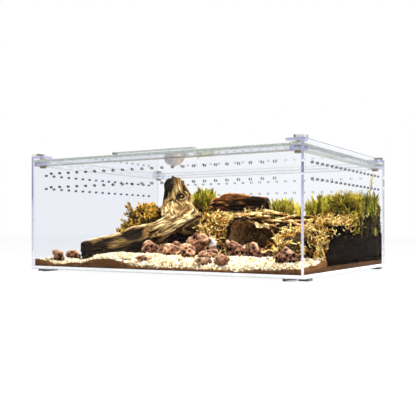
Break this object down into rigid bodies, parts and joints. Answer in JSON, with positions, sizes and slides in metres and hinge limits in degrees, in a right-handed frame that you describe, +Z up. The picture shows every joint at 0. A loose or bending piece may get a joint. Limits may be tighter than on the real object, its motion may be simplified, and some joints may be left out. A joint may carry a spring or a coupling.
{
  "type": "reptile terrarium",
  "caption": "Low clear terrarium with vented walls, a lift-off magnetic lid, stacking corner feet and a planted landscape of driftwood, bark, stone and moss.",
  "frame": {"origin": "on the ground under the middle of the box", "axes": "+Z up, front panel faces -Y, +X to the right seen from the front"},
  "size_m": [0.4, 0.3, 0.1595],
  "materials": {
    "clear_acrylic": "clear, polished faces and laser-cut edges",
    "foot_acrylic": "smoky, polished",
    "nickel": "bright nickel plate",
    "brown_soil": "damp, crumbly",
    "dark_soil": "damp, dark, crumbly",
    "wood_chip": "pale, dry, fibrous",
    "driftwood": "weathered, deeply grained",
    "red_bark": "rough, furrowed",
    "cork_bark": "rough outside, dark inside",
    "lava_rock": "porous stone",
    "pale_stone": "smooth stone",
    "olive_moss": "tufted, half dry",
    "green_moss": "tufted, fresh",
    "dry_moss": "stringy, dry",
    "grass": "thin blades"
  },
  "bodies": {
    "box": {"base_plate": "clear_acrylic", "front_panel": "clear_acrylic", "back_panel": "clear_acrylic", "left_panel": "clear_acrylic", "right_panel": "clear_acrylic", "front_ledge": "clear_acrylic", "back_ledge": "clear_acrylic", "left_ledge": "clear_acrylic", "right_ledge": "clear_acrylic", "foot_front_left": "foot_acrylic", "foot_front_right": "foot_acrylic", "foot_back_left": "foot_acrylic", "foot_back_right": "foot_acrylic", "corner_shelf_front_left": "clear_acrylic", "corner_shelf_front_right": "clear_acrylic", "corner_shelf_back_left": "clear_acrylic", "corner_shelf_back_right": "clear_acrylic", "shelf_magnet_front_left": "nickel", "shelf_magnet_front_right": "nickel", "shelf_magnet_back_left": "nickel", "shelf_magnet_back_right": "nickel", "soil_bed": "brown_soil", "soil_bank": "dark_soil", "chip_layer": "wood_chip", "driftwood_limb": "driftwood", "driftwood_stump": "driftwood", "bark_slab": "red_bark", "cork_hide": "cork_bark", "lava_rocks_front": "lava_rock", "lava_rocks_middle": "lava_rock", "lava_rocks_rear": "lava_rock", "pale_stone": "pale_stone", "moss_bank_left": "olive_moss", "moss_bank_back": "green_moss", "moss_bank_centre": "dry_moss", "moss_bank_right": "dry_moss", "straw_slope": "dry_moss", "dry_moss_front": "dry_moss", "dry_moss_cap": "dry_moss", "fern_mound": "green_moss", "fern_sprig": "grass", "grass_tuft_back": "grass", "grass_tuft_centre": "grass", "grass_tuft_right": "grass"},
    "lid": {"lid_plate": "clear_acrylic", "finger_strip": "clear_acrylic", "lid_magnet_front_left": "nickel", "lid_magnet_front_right": "nickel", "lid_magnet_back_left": "nickel", "lid_magnet_back_right": "nickel", "lid_corner_plate_front_left": "clear_acrylic", "lid_corner_plate_front_right": "clear_acrylic", "lid_corner_plate_back_left": "clear_acrylic", "lid_corner_plate_back_right": "clear_acrylic", "stacking_block_front_left": "clear_acrylic", "stacking_block_front_right": "clear_acrylic", "stacking_block_back_left": "clear_acrylic", "stacking_block_back_right": "clear_acrylic"}
  },
  "joints": [
    {"name": "lid_lift", "type": "slide", "parent": "box", "child": "lid", "axis": [0, 0, 1], "range_m": [0, 0.12]}
  ]
}
